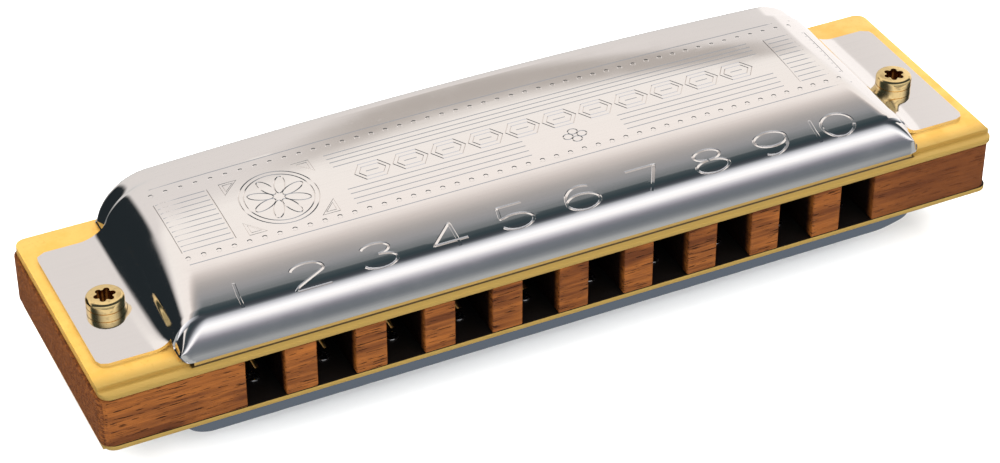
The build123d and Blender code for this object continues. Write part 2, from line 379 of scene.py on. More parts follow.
def screw_recipe(net):
    """Turned and polished brass with faint turning rings and painted shade in its recess."""
    tone = tuple(colours().screw)
    rings = net.noise(net.place((900, 900, 9000)), detail=2.0)
    dirt = net.noise(net.place((1900, 1900, 1900)), detail=3.0).step(0.52, 0.75)
    x, y, z = net.split(net.place())
    beside, along = abs(x) - SCREW_X, y - SCREW_Y
    away = (beside * beside + along * along) ** 0.5
    # Painted shade: the recess is coloured dark brown, as if in its own shade.
    recess = (1 - away.step(*RECESS_WALL)) * (1 - z.step(*RECESS_TOP))
    shade = net.mix(dirt * 0.4, tone, tinted(tone, 0.55))
    shade = net.mix(recess * 0.85, shade, RECESS_SHADE_TONE)
    return {
        "Base Color": shade,
        "Metallic": 1.0,
        "Roughness": 0.10 + dirt * 0.15 + rings * 0.05,
        "Normal": net.bump(rings, 0.10, 0.00003),
    }


def reed_recipe(net):
    """Thin spring brass with file marks across the tongue."""
    tone = tuple(colours().reed)
    file_marks = net.noise(net.place((900, 9000, 900)), detail=2.0)
    tarnish = net.noise(net.place((700, 700, 700)), detail=3.0).step(0.45, 0.75)
    return {
        "Base Color": net.mix(tarnish * 0.5, tone, tinted(tone, 0.8, 0.66, 0.5)),
        "Metallic": 1.0,
        "Roughness": 0.22 + file_marks * 0.18,
        "Normal": net.bump(file_marks, 0.25, 0.00002),
    }


def rivet_recipe(net):
    """Plain steel of rivets and reed plate screws."""
    marks = net.noise(net.place((2600, 2600, 2600)), detail=3.0)
    dull = marks.step(0.45, 0.7)
    return {
        "Base Color": net.mix(dull * 0.6, RIVET_TONE, RIVET_DULL),
        "Metallic": 1.0,
        "Roughness": 0.22 + dull * 0.2,
        "Normal": net.bump(marks, 0.15, 0.00002),
    }


def floor_recipe(net):
    """Matt pale studio paper."""
    grain = net.noise(net.place((700, 700, 700)), detail=3.0)
    tone = tuple(colours().floor)
    return {
        "Base Color": net.mix(grain * 0.10, tone, tinted(tone, 0.96)),
        "Roughness": 0.9,
        "Specular IOR Level": 0.1,
        "Normal": net.bump(grain, 0.05, 0.0001),
    }


SURFACES = {
    "cover_steel": steel_recipe,
    "plate_brass": brass_recipe,
    "comb_wood": wood_recipe,
    "screw_brass": screw_recipe,
    "reed_brass": reed_recipe,
    "rivet_steel": rivet_recipe,
    "plate_screw_steel": rivet_recipe,
    "studio_paper": floor_recipe,
}


def paint(piece, slot):
    """Give a piece its one finish."""
    piece.data.materials.clear()
    piece.data.materials.append(surface(slot, SURFACES[slot]))


# ---------------------------------------------------------------------------
# Hand tools
# ---------------------------------------------------------------------------

SAME_POINT = 0.004 * MM
NO_AREA = 0.0005 * MM
TOUCHING = 0.001 * MM


def only(piece):
    """Select one piece and nothing else."""
    bpy.ops.object.select_all(action="DESELECT")
    piece.select_set(True)
    bpy.context.view_layer.objects.active = piece
    return piece


def fresh(name):
    """Name the piece that was just added."""
    piece = bpy.context.view_layer.objects.active
    piece.name = name
    piece.data.name = name
    return piece


def settle():
    """Put the place, turn and stretch of what is selected into its mesh."""
    bpy.ops.object.transform_apply(location=True, rotation=True, scale=True)


def block(name, low, high):
    """A box between two corners."""
    bpy.ops.object.select_all(action="DESELECT")
    middle = [(a + b) / 2 for a, b in zip(low, high)]
    extent = [b - a for a, b in zip(low, high)]
    bpy.ops.mesh.primitive_cube_add(size=1, location=middle, scale=extent)
    settle()
    return fresh(name)


def rod(name, x, y, low, high, radius, sides):
    """An upright round bar."""
    bpy.ops.object.select_all(action="DESELECT")
    bpy.ops.mesh.primitive_cylinder_add(
        vertices=sides, radius=radius, depth=high - low, location=(x, y, (low + high) / 2)
    )
    settle()
    return fresh(name)


def join(pieces, name):
    """Make one piece of many."""
    bpy.ops.object.select_all(action="DESELECT")
    for piece in pieces:
        piece.select_set(True)
    bpy.context.view_layer.objects.active = pieces[0]
    bpy.ops.object.join()
    return fresh(name)


def carve(piece, cutter, operation="DIFFERENCE", overlapping=False):
    """Cut one piece with another and throw the cutter away."""
    only(piece)
    step = piece.modifiers.new("carve", "BOOLEAN")
    step.operation = operation
    step.object = cutter
    step.solver = "EXACT"
    step.use_self = overlapping
    bpy.ops.object.modifier_apply(modifier=step.name)
    bpy.data.objects.remove(cutter)


def soften(piece, width, segments=2, angle=40):
    """Round every edge sharper than the angle."""
    only(piece)
    step = piece.modifiers.new("soften", "BEVEL")
    step.width = width
    step.segments = segments
    step.limit_method = "ANGLE"
    step.angle_limit = math.radians(angle)
    step.use_clamp_overlap = True
    bpy.ops.object.modifier_apply(modifier=step.name)


def smooth(piece, angle):
    """Shade a piece smooth across every edge flatter than the angle."""
    only(piece)
    bpy.ops.object.shade_smooth_by_angle(angle=math.radians(angle))


def edit(piece):
    """Open a piece for editing with nothing selected."""
    only(piece)
    bpy.ops.object.mode_set(mode="EDIT")
    bpy.ops.mesh.select_all(action="DESELECT")
    return bmesh.from_edit_mesh(piece.data)


def close(piece):
    """Leave editing."""
    bmesh.update_edit_mesh(piece.data)
    bpy.ops.object.mode_set(mode="OBJECT")


def in_edit(piece, action, **settings):
    """Do one edit mode operation on the whole of a piece."""
    edit(piece)
    bpy.ops.mesh.select_all(action="SELECT")
    action(**settings)
    close(piece)


def round_edges(piece, radius, segments, wanted):
    """Round the edges whose two ends pass a test."""
    mesh = edit(piece)
    bpy.ops.mesh.select_mode(type="EDGE")
    for edge in mesh.edges:
        edge.select = wanted(*(vertex.co for vertex in edge.verts))
    bmesh.update_edit_mesh(piece.data)
    bpy.ops.mesh.bevel(offset=radius, segments=segments)
    close(piece)


def round_corners(piece, radius):
    """Round the four upright corner edges of a slab."""
    round_edges(piece, radius, 8, lambda a, b: max(abs(a.x - b.x), abs(a.y - b.y)) < TOUCHING)


def round_rim(piece, level, radius):
    """Round the rim at one height."""
    round_edges(piece, radius, 5, lambda a, b: max(abs(a.z - level), abs(b.z - level)) < TOUCHING)


def twin(piece, name):
    """A copy of a piece with its own mesh."""
    other = piece.copy()
    other.data = piece.data.copy()
    bpy.context.collection.objects.link(other)
    only(other)
    return fresh(name)


def moved_twin(piece, name, shift):
    """A copy of a piece, moved along the comb."""
    other = twin(piece, name)
    bpy.ops.transform.translate(value=(shift, 0, 0))
    settle()
    return other


def place_piece(piece, slot, *nodes):
    """Paint a finished piece, let it ride and hide the CAD parts that it stands for."""
    if not piece.data.polygons:
        raise RuntimeError(f"{piece.name} came out empty")
    paint(piece, slot)
    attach(piece, BODY)
    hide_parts(*nodes)


# ---------------------------------------------------------------------------
# Comb
# ---------------------------------------------------------------------------

CORNER = 1.2 * MM
CHANNEL_REST = 1.6 * MM


class HARMONICA_OT_comb(bpy.types.Operator):
    """Wooden comb with ten channels open at the front"""

    bl_idname = "harmonica.comb"
    bl_label = "Comb"

    def execute(self, context):
        comb = block("comb_wood_block", COMB_LOW, COMB_HIGH)
        round_corners(comb, CORNER)
        half = sizes().hole_width / 2
        cutters = []
        for number, middle in enumerate(HOLE_MIDDLES, 1):
            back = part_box(f"blow_reed_{number}")[1].y + CHANNEL_REST
            low = (middle - half, COMB_LOW.y - MM, COMB_LOW.z - MM)
            high = (middle + half, back, COMB_HIGH.z + MM)
            cutters.append(block("channel", low, high))
        carve(comb, join(cutters, "channels"))
        soften(comb, sizes().wood_round, segments=3)
        smooth(comb, 35)
        place_piece(comb, "comb_wood", "comb")
        return {"FINISHED"}


# ---------------------------------------------------------------------------
# Reed plates
# ---------------------------------------------------------------------------

STEP_WIDTH = 1.2 * MM
STEP_DROP = 0.45 * MM
SLOT_SIDE = 0.06 * MM
SLOT_END = 0.15 * MM


class HARMONICA_OT_reed_plates(bpy.types.Operator):
    """Two brass reed plates with slots and a step for the cover's lip"""

    bl_idname = "harmonica.reed_plates"
    bl_label = "Reed plates"

    def execute(self, context):
        for side, plate_node, reeds in ((1, "top_reed_plate", "blow"), (-1, "bottom_reed_plate", "draw")):
            low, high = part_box(plate_node)
            plate = block(f"{plate_node}_brass", low, high)
            round_corners(plate, CORNER)
            outside = high.z if side > 0 else low.z
            step = sorted((outside - side * STEP_DROP, outside + side * MM))
            cutters = [
                block(
                    "step",
                    (low.x - MM, low.y - MM, step[0]),
                    (high.x + MM, low.y + STEP_WIDTH, step[1]),
                )
            ]
            for number in range(1, HOLES + 1):
                reed_low, reed_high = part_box(f"{reeds}_reed_{number}")
                slot_low = (reed_low.x - SLOT_SIDE, reed_low.y - SLOT_END, low.z - MM)
                slot_high = (reed_high.x + SLOT_SIDE, reed_high.y + SLOT_END, high.z + MM)
                cutters.append(block("slot", slot_low, slot_high))
            carve(plate, join(cutters, "slots"))
            soften(plate, sizes().brass_round)
            smooth(plate, 35)
            place_piece(plate, "plate_brass", plate_node)
        return {"FINISHED"}


# ---------------------------------------------------------------------------
# Covers
# ---------------------------------------------------------------------------

# All in millimetres and degrees, unless a name says otherwise
ROOF_TOP = COVER_HIGH.z / MM
PLATE_TOP = PLATE_HIGH.z / MM
SLOPE_BACK = 1.15
# Side outline of the cover, from the back to the foot of the front wall: (length, slope at its end)
OUTLINE = (
    (16.98, 8.6),
    (5.51, 13.0),
    (0.60, 28.0),
    (0.52, 46.0),
    (0.42, 52.0),
    (0.80, 57.0),
    (2.50, 62.0),
)
OUTLINE_START = 12.4
LIP_FRONT = COVER_LOW.y / MM
# The end walls: beside the flanges they bend out widely, past them they run down to the plate
END_FOOT = 42.50
END_SLOPE = 62.0
BEND_RISE = 2.15
OPEN_FOOT = 41.9
OPEN_SLOPE = 76.0
OPEN_RISE = 0.15
BEND_SHARE = 0.42
CORNER_START = 40.7
PLAN_ROUND = 1.2
CROWN_SPAN = (-6.0, 13.0)
CROWN_RADIUS = 750.0
NEARLY_FLAT = 1e-5
FLANGE_END = COVER_HIGH.x / MM
FLANGE_LEVEL = PLATE_TOP + 0.4
FLANGE_SPAN = (-9.85, 9.9)
OPEN_BLEND = 0.8
FLANGE_COLUMNS = 40
FLANGE_ROUND = 1.0
LIP_TURN = 0.2
# The open back edge: (turn, straight run after it), then a small curl
BACK_ROLL = 0.9
BACK_CURL = 0.3
BACK_TURNS = [(15 * count, 0) for count in range(1, 7)] + [(90, 0.2), (130, 0.2), (170, 0.2)]
# Spacing of the skin's rows on the roof and over the shoulder, which starts at this slope
ROOF_ROW = 0.5
SHOULDER_ROW = 0.16
SHOULDER_SLOPE = math.radians(13.9)
ROWS_BEHIND_FLANGE = (0.12, 0.26, 0.42, 0.60, 0.80)


def side_outline():
    """Points (y, z, slope in radians) of the cover's middle section from back to front."""
    y, z, slope = OUTLINE_START, 0.0, math.radians(SLOPE_BACK)
    points = [(y, z, slope)]
    for run, end_slope in OUTLINE:
        steps = max(6, round(run / 0.12))
        start = slope
        for count in range(1, steps + 1):
            turned = start + (math.radians(end_slope) - start) * count / steps
            middle = (turned + slope) / 2
            y -= run / steps * math.cos(middle)
            z -= run / steps * math.sin(middle)
            slope = turned
            points.append((y, z, slope))
    highest = max(point[1] for point in points)
    return [(y, z + ROOF_TOP - highest, slope) for y, z, slope in points]


SIDE = side_outline()


def outline_height(y):
    """Height of the cover's middle section at a depth, in millimetres."""
    if y >= SIDE[0][0]:
        return SIDE[0][1]
    if y <= SIDE[-1][0]:
        return SIDE[-1][1]
    for behind, ahead in zip(SIDE, SIDE[1:]):
        if ahead[0] <= y <= behind[0]:
            share = (behind[0] - y) / (behind[0] - ahead[0])
            return behind[1] + (ahead[1] - behind[1]) * share
    return SIDE[-1][1]


def ease(value, low, high):
    """0 below low, 1 above high, smooth between."""
    share = min(max((value - low) / (high - low), 0), 1)
    return share * share * (3 - 2 * share)


def flange_level(y):
    """Height that the end walls bend out to at a depth."""
    return PLATE_TOP + (FLANGE_LEVEL - PLATE_TOP) * ease(y, LIP_FRONT, LIP_FRONT + 0.9)


def corner_shift(across, y):
    """How far the front wall curves back near the ends."""
    part = min(max(across - CORNER_START, 0), PLAN_ROUND) / PLAN_ROUND
    return PLAN_ROUND * (1 - math.sqrt(1 - part**2)) * (1 - ease(y, -10.6, -7.5))


def beyond_flange(y):
    """0 beside the flanges, 1 in front of and behind them."""
    front, back = FLANGE_SPAN
    return 1 - ease(y, front - OPEN_BLEND, front) + ease(y, back, back + OPEN_BLEND)


def between(first, second, share):
    """A value part of the way from the first to the second."""
    return first + (second - first) * share


def cover_height(x, y):
    """Height of the cover's outer skin at a place, in millimetres."""
    level = flange_level(y)
    past = beyond_flange(y)
    steepest = math.radians(between(END_SLOPE, OPEN_SLOPE, past))
    top = max(outline_height(y - corner_shift(abs(x), y)), level + 0.001)
    share = min(max((y - CROWN_SPAN[0]) / (CROWN_SPAN[1] - CROWN_SPAN[0]), 0), 1) ** 2
    crown = 1 / (share / CROWN_RADIUS + NEARLY_FLAT)
    # The end wall is a hollow bend below and a round corner above, met at its steepest
    rise = min(between(BEND_RISE, OPEN_RISE, past), BEND_SHARE * (top - level))
    bend = rise / (1 - math.cos(steepest))
    foot = between(END_FOOT, OPEN_FOOT, past) - (level - PLATE_TOP) / math.tan(steepest)
    bend_x = foot + bend * math.tan(steepest / 2)
    wall_x = bend_x - bend * math.sin(steepest)
    wall_z = level + rise
    drop = wall_z - top + crown
    reach = wall_x * math.sin(steepest) + drop * math.cos(steepest)
    corner = (crown**2 - wall_x**2 - drop**2) / (2 * (crown - reach))
    centre_x = wall_x - corner * math.sin(steepest)
    centre_z = wall_z - corner * math.cos(steepest)
    across = abs(x)
    if across < centre_x * crown / (crown - corner):
        return top - crown + math.sqrt(crown**2 - across**2)
    if across < wall_x:
        return centre_z + math.sqrt(max(corner**2 - (across - centre_x) ** 2, 0))
    if across < bend_x:
        return level + bend - math.sqrt(max(bend**2 - (across - bend_x) ** 2, 0))
    return level


def skin_height(x, y):
    """Outer skin, never below the reed plate."""
    return max(cover_height(x, y), PLATE_TOP)


def half_span(y):
    """How far the skin reaches to each side at a depth, without its flange."""
    inward = min(max(1 - (y - LIP_FRONT) / PLAN_ROUND, 0), 1)
    return min(OPEN_FOOT, CORNER_START + PLAN_ROUND * math.sqrt(1 - inward**2))


INNER_COLUMNS = [count * 1.35 for count in range(25)]
CORNER_COLUMNS = 36
WALL_COLUMNS = 9


def columns(y):
    """Places along the comb where the skin has points at a depth, left to right."""
    right = list(INNER_COLUMNS)
    right += [
        between(INNER_COLUMNS[-1], CORNER_START, count / CORNER_COLUMNS)
        for count in range(1, CORNER_COLUMNS + 1)
    ]
    reach = half_span(y)
    right += [between(CORNER_START, reach, count / WALL_COLUMNS) for count in range(1, WALL_COLUMNS + 1)]
    return [-x for x in reversed(right[1:])] + right


def rows():
    """Depths, front to back, where the skin has a row of points."""
    depths = []
    last = None
    for y, z, slope in reversed(SIDE):
        gap = SHOULDER_ROW if slope > SHOULDER_SLOPE else ROOF_ROW
        if last is None or math.hypot(y - last[0], z - last[1]) >= gap or y == SIDE[0][0]:
            depths.append(max(y, LIP_FRONT))
            last = (y, z)
    for exact in FLANGE_SPAN:
        nearest = min(range(len(depths)), key=lambda index: abs(depths[index] - exact))
        depths[nearest] = exact
    return sorted(set(depths + [FLANGE_SPAN[1] + step for step in ROWS_BEHIND_FLANGE]))


def grid_of(name, places):
    """A grid primitive whose points are moved to rows of places, in millimetres."""
    bpy.ops.object.select_all(action="DESELECT")
    across, down = len(places[0]), len(places)
    bpy.ops.mesh.primitive_grid_add(x_subdivisions=across - 1, y_subdivisions=down - 1, size=1)
    piece = fresh(name)
    flat = [value * MM for row in places for point in row for value in point]
    piece.data.vertices.foreach_set("co", flat)
    piece.data.update()
    return piece


def back_roll_rows():
    """Rows that turn the skin down and in along its open back edge."""
    depth = SIDE[0][0]
    nudge = 0.01
    made = []
    for angle, leg in BACK_TURNS:
        row = []
        for x in columns(depth):
            rise = cover_height(x + nudge, depth) - cover_height(x - nudge, depth)
            lean = math.hypot(rise, 2 * nudge)
            normal = (-rise / lean, 2 * nudge / lean)
            turn = math.radians(min(angle, 90))
            out = BACK_ROLL * math.sin(turn)
            down = BACK_ROLL * (1 - math.cos(turn)) + leg
            if angle > 90:
                curl = math.radians(angle - 90)
                out -= BACK_CURL * (1 - math.cos(curl))
                down += BACK_CURL * math.sin(curl)
            height = cover_height(x, depth) - normal[1] * down
            row.append((x - normal[0] * down, depth + out, max(height, PLATE_TOP)))
        made.append(row)
    return made


def cover_skin():
    """The cover's outer skin as one sheet: lip, front wall, roof, end walls, flanges and back roll."""
    depths = rows()
    lip_levels = (COVER_LOW.z / MM, PLATE_TOP - LIP_TURN)
    body = [[(x, LIP_FRONT, level) for x in columns(LIP_FRONT)] for level in lip_levels]
    for y in depths:
        body.append([(x, y, skin_height(x, y)) for x in columns(y)])
    body += back_roll_rows()
    pieces = [grid_of("skin", body)]
    flange_depths = [y for y in depths if FLANGE_SPAN[0] <= y <= FLANGE_SPAN[1]]
    middle = sum(FLANGE_SPAN) / 2
    straight = (FLANGE_SPAN[1] - FLANGE_SPAN[0]) / 2 - FLANGE_ROUND
    for side in (-1, 1):
        places = []
        for y in flange_depths:
            past = min(max(abs(y - middle) - straight, 0) / FLANGE_ROUND, 1)
            end = FLANGE_END - FLANGE_ROUND * (1 - math.sqrt(1 - past**2))
            row = []
            for count in range(FLANGE_COLUMNS + 1):
                x = between(OPEN_FOOT, end, count / FLANGE_COLUMNS)
                row.append((side * x, y, skin_height(x, y)))
            places.append(row if side > 0 else row[::-1])
        pieces.append(grid_of("flange", places))
    skin = join(pieces, "skin")
    in_edit(skin, bpy.ops.mesh.remove_doubles, threshold=SAME_POINT)
    in_edit(skin, bpy.ops.mesh.normals_make_consistent, inside=False)
    top = max(skin.data.polygons, key=lambda face: face.center.z)
    if top.normal.z < 0:
        in_edit(skin, bpy.ops.mesh.flip_normals)
    return skin


def press(skin):
    """Give the skin the thickness of its sheet, inwards."""
    only(skin)
    step = skin.modifiers.new("sheet", "SOLIDIFY")
    step.thickness = sizes().sheet
    step.offset = -1
    step.use_even_offset = False
    bpy.ops.object.modifier_apply(modifier=step.name)
    return skin


# ---------------------------------------------------------------------------
# Engraving, in millimetres and degrees
# ---------------------------------------------------------------------------

LINE_STEP = 3


def along_roof(distance):
    """Depth at a distance measured over the skin from the numerals' back edge to the front."""
    walked = 0.0
    start = NUMERAL_BACK
    for behind, ahead in zip(SIDE, SIDE[1:]):
        if ahead[0] > start:
            continue
        first = min(behind[0], start)
        share = (behind[0] - first) / (behind[0] - ahead[0])
        first_z = behind[1] + (ahead[1] - behind[1]) * share
        piece = math.hypot(first - ahead[0], first_z - ahead[1])
        if walked + piece >= distance:
            return first - (first - ahead[0]) * (distance - walked) / piece
        walked += piece
    return SIDE[-1][0]


def on_skin(x, y, lift):
    """A point a little above the outer skin, in millimetres."""
    nudge = 0.05
    slope_x = (cover_height(x + nudge, y) - cover_height(x - nudge, y)) / (2 * nudge)
    slope_y = (cover_height(x, y + nudge) - cover_height(x, y - nudge)) / (2 * nudge)
    normal = Vector((-slope_x, -slope_y, 1)).normalized()
    return Vector((x, y, cover_height(x, y))) + normal * lift


def stroke(points, depth, flat=0.0, closed=False):
    """A bar along points on the skin, used as an engraving tool; flat is half its flat bottom."""
    curve = bpy.data.curves.new("stroke", "CURVE")
    curve.dimensions = "3D"
    curve.twist_mode = "Z_UP"
    curve.bevel_depth = depth
    curve.bevel_resolution = 0
    curve.extrude = flat
    curve.use_fill_caps = True
    line = curve.splines.new("POLY")
    line.points.add(len(points) - 1)
    for target, point in zip(line.points, points):
        target.co = (*(point * MM), 1)
        target.tilt = math.pi / 2
    line.use_cyclic_u = closed
    tool = bpy.data.objects.new("stroke", curve)
    bpy.context.collection.objects.link(tool)
    only(tool)
    bpy.ops.object.convert(target="MESH")
    return fresh("stroke")


def engraved_path(places, closed=True):
    """A fine line on the roof through many (x, y) places, closed to a ring or open."""
    return stroke([on_skin(x, y, 0.0) for x, y in places], sizes().line_groove, closed=closed)


def engraved_line(start, end):
    """A fine straight line on the roof between two (x, y) places."""
    count = max(1, round(math.dist(start, end) / LINE_STEP))
    shares = [step / count for step in range(count + 1)]
    places = [(between(start[0], end[0], share), between(start[1], end[1], share)) for share in shares]
    return engraved_path(places, closed=False)


def bow(middle, radii, start, end, count=14):
    """Places along part of an ellipse, angles in degrees."""
    places = []
    for step in range(count + 1):
        angle = math.radians(start + (end - start) * step / count)
        places.append((middle[0] + radii[0] * math.cos(angle), middle[1] + radii[1] * math.sin(angle)))
    return places


# Numerals as strokes in a box one wide and one high, with its foot at 0
NUMERALS = {
    "0": [bow((0, 0.5), (0.5, 0.5), 0, 345, 26)],
    "1": [[(0.04, 1.0), (0.0, 0.5), (0.0, 0.0)]],
    "2": [
        bow((0, 0.72), (0.46, 0.28), 165, -25, 12)
        + [(-0.38, 0.16), (-0.5, 0.05), (-0.44, 0.0), (0.5, 0.0)]
    ],
    "3": [
        bow((-0.04, 0.77), (0.40, 0.23), 160, -78, 11),
        bow((-0.04, 0.27), (0.50, 0.27), 86, -160, 14),
    ],
    "4": [[(0.20, 0.0), (0.20, 0.98), (-0.5, 0.22), (0.5, 0.22)]],
    "5": [[(0.36, 1.0), (-0.36, 1.0), (-0.44, 0.52)] + bow((-0.02, 0.30), (0.50, 0.30), 128, -155, 14)],
    "6": [bow((0.08, 0.36), (0.56, 0.62), 62, 178, 9) + bow((0, 0.32), (0.5, 0.32), 186, 520, 20)],
    "7": [[(-0.45, 1.0), (0.45, 1.0), (-0.02, 0.0)]],
    "8": [
        bow((0, 0.77), (0.40, 0.23), -90, 262, 20),
        bow((0, 0.27), (0.50, 0.27), 96, 448, 22),
    ],
    "9": [bow((-0.08, 0.64), (0.56, 0.62), -118, -2, 9) + bow((0, 0.68), (0.5, 0.32), 6, 340, 20)],
}
NUMERAL_SHIFT = -0.85
NUMERAL_BACK = -7.8
NUMERAL_HEIGHT = 3.15
NUMERAL_LIFT = 0.02
TEN_SIGNS = (("1", -2.35), ("0", 0.45))
STROKE_STEP = 0.22


def numeral(sign, middle, wide):
    """The strokes of one numeral, engraved over the shoulder of the cover."""
    tools = []
    for places in NUMERALS[sign]:
        points = []
        for (ahead, above), (across, up) in zip(places, places[1:]):
            run = math.hypot((across - ahead) * wide, (up - above) * NUMERAL_HEIGHT)
            count = max(1, round(run / STROKE_STEP))
            for step in range(count):
                points.append((between(ahead, across, step / count), between(above, up, step / count)))
        points.append(places[-1])
        skin = []
        for across, up in points:
            y = along_roof(NUMERAL_HEIGHT * (1 - up))
            skin.append(on_skin(middle + across * wide, y, NUMERAL_LIFT))
        tools.append(stroke(skin, sizes().numeral_groove, sizes().numeral_flat))
    return tools


def numerals():
    """A numeral for each hole."""
    tools = []
    wide = sizes().numeral_width / MM
    for number, place in enumerate(HOLE_MIDDLES, 1):
        middle = place / MM + NUMERAL_SHIFT
        signs = TEN_SIGNS if number == HOLES else ((str(number), 0),)
        for sign, aside in signs:
            tools += numeral(sign, middle + aside, wide)
    return tools


LINE_ENDS = (-37.5, 38.3)
FRONT_LINE = -4.0
BACK_LINE = 8.75
DOT_ROWS = (-3.1, 7.65)
HATCHES = ((-37.6, -31.9), (33.0, 38.3))
HATCH_DEPTH = (-2.0, 6.0)
HATCH_RULES = 11
HATCH_INSET = 0.2
HATCH_OVERRUN = 0.15
BAND = (-18.8, 31.0)
BAND_GAP = (0.9, 12.0)
BAND_FRONT = (-2.0, -1.25, -0.45, 0.3)
BAND_BACK = (4.1, 4.85, 5.5, 6.2)
BAND_MARGIN = 1.4
BAND_LEAN = 0.1
BAND_LEAN_FROM = 4
CARTOUCHES = 11
CARTOUCHE_MIDDLE = 2.2
# Outer and inner outline of a cartouche: (gap to the next, half its width, length of its nose)
CARTOUCHE_OUTLINES = ((0.15, 1.25, 0.9), (0.65, 0.75, 0.55))
CARTOUCHE_RULE = 0.7
FLOWER_MIDDLE = -0.85
FLOWER_REACH = (0.8, 0.6)
FLOWER_PETAL = (0.55, 0.42)
ROSETTE = (-25.6, 2.0)
ROSETTE_RINGS = (4.1, 3.6)
ROSETTE_PETALS = 8
ROSETTE_REACH = 1.9
ROSETTE_PETAL = (1.35, 0.55)
RULE_CORNER = (4.9, 4.3)
RULE_RUNS = (1.9, 1.1)
RULE_STEP = 0.3
# The punch of a dot: its lower and upper radius as shares of the dot's, its length and its lift
DOT_TIP = 0.55
DOT_TOP = 1.25
DOT_PUNCH = 0.14
DOT_LIFT = 0.03
DOT_START = 0.2


def frame_lines():
    """Long lines in front of and behind the ornament."""
    return [
        engraved_line((LINE_ENDS[0], FRONT_LINE), (LINE_ENDS[1], FRONT_LINE)),
        engraved_line((LINE_ENDS[0] + 0.4, BACK_LINE), (LINE_ENDS[1] - 0.3, BACK_LINE)),
    ]


def hatches():
    """A ruled panel at each end."""
    tools = []
    for left, right in HATCHES:
        front, back = HATCH_DEPTH
        for x in (left, right):
            tools.append(engraved_line((x, front - HATCH_OVERRUN), (x, back + HATCH_OVERRUN)))
        for count in range(HATCH_RULES):
            y = between(front, back, count / (HATCH_RULES - 1))
            tools.append(engraved_line((left + HATCH_INSET, y), (right - HATCH_INSET, y)))
    return tools


def band():
    """Ruled borders above and below a row of cartouches, with a small flower in the gap."""
    tools = []
    for y in BAND_BACK:
        tools.append(engraved_line((BAND[0] - (y - BAND_LEAN_FROM) * BAND_LEAN, y), (BAND[1], y)))
    for y in BAND_FRONT:
        tools.append(engraved_line((BAND[0], y), (BAND_GAP[0], y)))
        tools.append(engraved_line((BAND_GAP[1], y), (BAND[1], y)))
    left, right = BAND[0] + BAND_MARGIN, BAND[1] - BAND_MARGIN
    pitch = (right - left) / CARTOUCHES
    y = CARTOUCHE_MIDDLE
    for count in range(CARTOUCHES):
        x = left + pitch * (count + 0.5)
        for gap, rise, nose in CARTOUCHE_OUTLINES:
            reach = pitch / 2 - gap
            places = [(x - reach, y), (x - reach + nose, y - rise), (x + reach - nose, y - rise)]
            places += [(x + reach, y), (x + reach - nose, y + rise), (x - reach + nose, y + rise)]
            tools.append(engraved_path(places))
        tools.append(engraved_line((x - CARTOUCHE_RULE, y), (x + CARTOUCHE_RULE, y)))
    flower = (sum(BAND_GAP) / 2, FLOWER_MIDDLE)
    for turn in range(4):
        centre = bow(flower, FLOWER_REACH, 90 * turn, 90 * turn, 1)[0]
        tools.append(engraved_path(bow(centre, FLOWER_PETAL, 0, 330, 11)))
    return tools


def rosette():
    """A round medallion with eight petals in a square of corner rules."""
    tools = []
    for radius in ROSETTE_RINGS:
        tools.append(engraved_path(bow(ROSETTE, (radius, radius), 0, 352, 44)))
    for turn in range(ROSETTE_PETALS):
        angle = 2 * math.pi * (turn + 0.5) / ROSETTE_PETALS
        along, aside = math.cos(angle), math.sin(angle)
        petal = []
        for x, y in bow((ROSETTE_REACH, 0), ROSETTE_PETAL, 0, 345, 16):
            petal.append((ROSETTE[0] + x * along - y * aside, ROSETTE[1] + x * aside + y * along))
        tools.append(engraved_path(petal))
    for sign_x in (-1, 1):
        for sign_y in (-1, 1):
            corner = (ROSETTE[0] + sign_x * RULE_CORNER[0], ROSETTE[1] + sign_y * RULE_CORNER[1])
            for run in RULE_RUNS:
                tip_x = (corner[0] - sign_x * run, corner[1])
                tip_y = (corner[0], corner[1] - sign_y * run)
                tools.append(engraved_path([corner, tip_x, tip_y]))
                corner = (corner[0] - sign_x * RULE_STEP, corner[1] - sign_y * RULE_STEP)
    return tools


def dots():
    """Two rows of shallow punched dots."""
    pitch = sizes().dot_pitch / MM
    tools = []
    for y in DOT_ROWS:
        for number in range(round((LINE_ENDS[1] - LINE_ENDS[0]) / pitch)):
            x = LINE_ENDS[0] + DOT_START + number * pitch
            point = on_skin(x, y, 0.0)
            away = (on_skin(x, y, 1.0) - point).normalized()
            bpy.ops.object.select_all(action="DESELECT")
            bpy.ops.mesh.primitive_cone_add(
                vertices=14,
                radius1=sizes().dot * DOT_TIP,
                radius2=sizes().dot * DOT_TOP,
                depth=DOT_PUNCH * MM,
                location=(point + away * DOT_LIFT) * MM,
                rotation=away.to_track_quat("Z", "Y").to_euler(),
            )
            settle()
            tools.append(fresh("dot"))
    return tools


class HARMONICA_OT_covers(bpy.types.Operator):
    """Pressed steel covers: the upper one numbered and engraved, the lower one plain"""

    bl_idname = "harmonica.covers"
    bl_label = "Covers"

    def execute(self, context):
        skin = press(cover_skin())
        lower = twin(skin, "bottom_cover_sheet")
        bpy.ops.transform.mirror(constraint_axis=(False, False, True))
        settle()
        in_edit(lower, bpy.ops.mesh.normals_make_consistent, inside=False)
        skin.name = "top_cover_sheet"
        tools = numerals() + frame_lines() + hatches() + band() + rosette() + dots()
        carve(skin, join(tools, "engraving_tools"), overlapping=True)
        for piece in (skin, lower):
            in_edit(piece, bpy.ops.mesh.dissolve_degenerate, threshold=NO_AREA)
        for piece, node in ((skin, "top_cover"), (lower, "bottom_cover")):
            smooth(piece, 17)
            place_piece(piece, "cover_steel", node)
        return {"FINISHED"}


# ---------------------------------------------------------------------------
# Screws and nuts
# ---------------------------------------------------------------------------

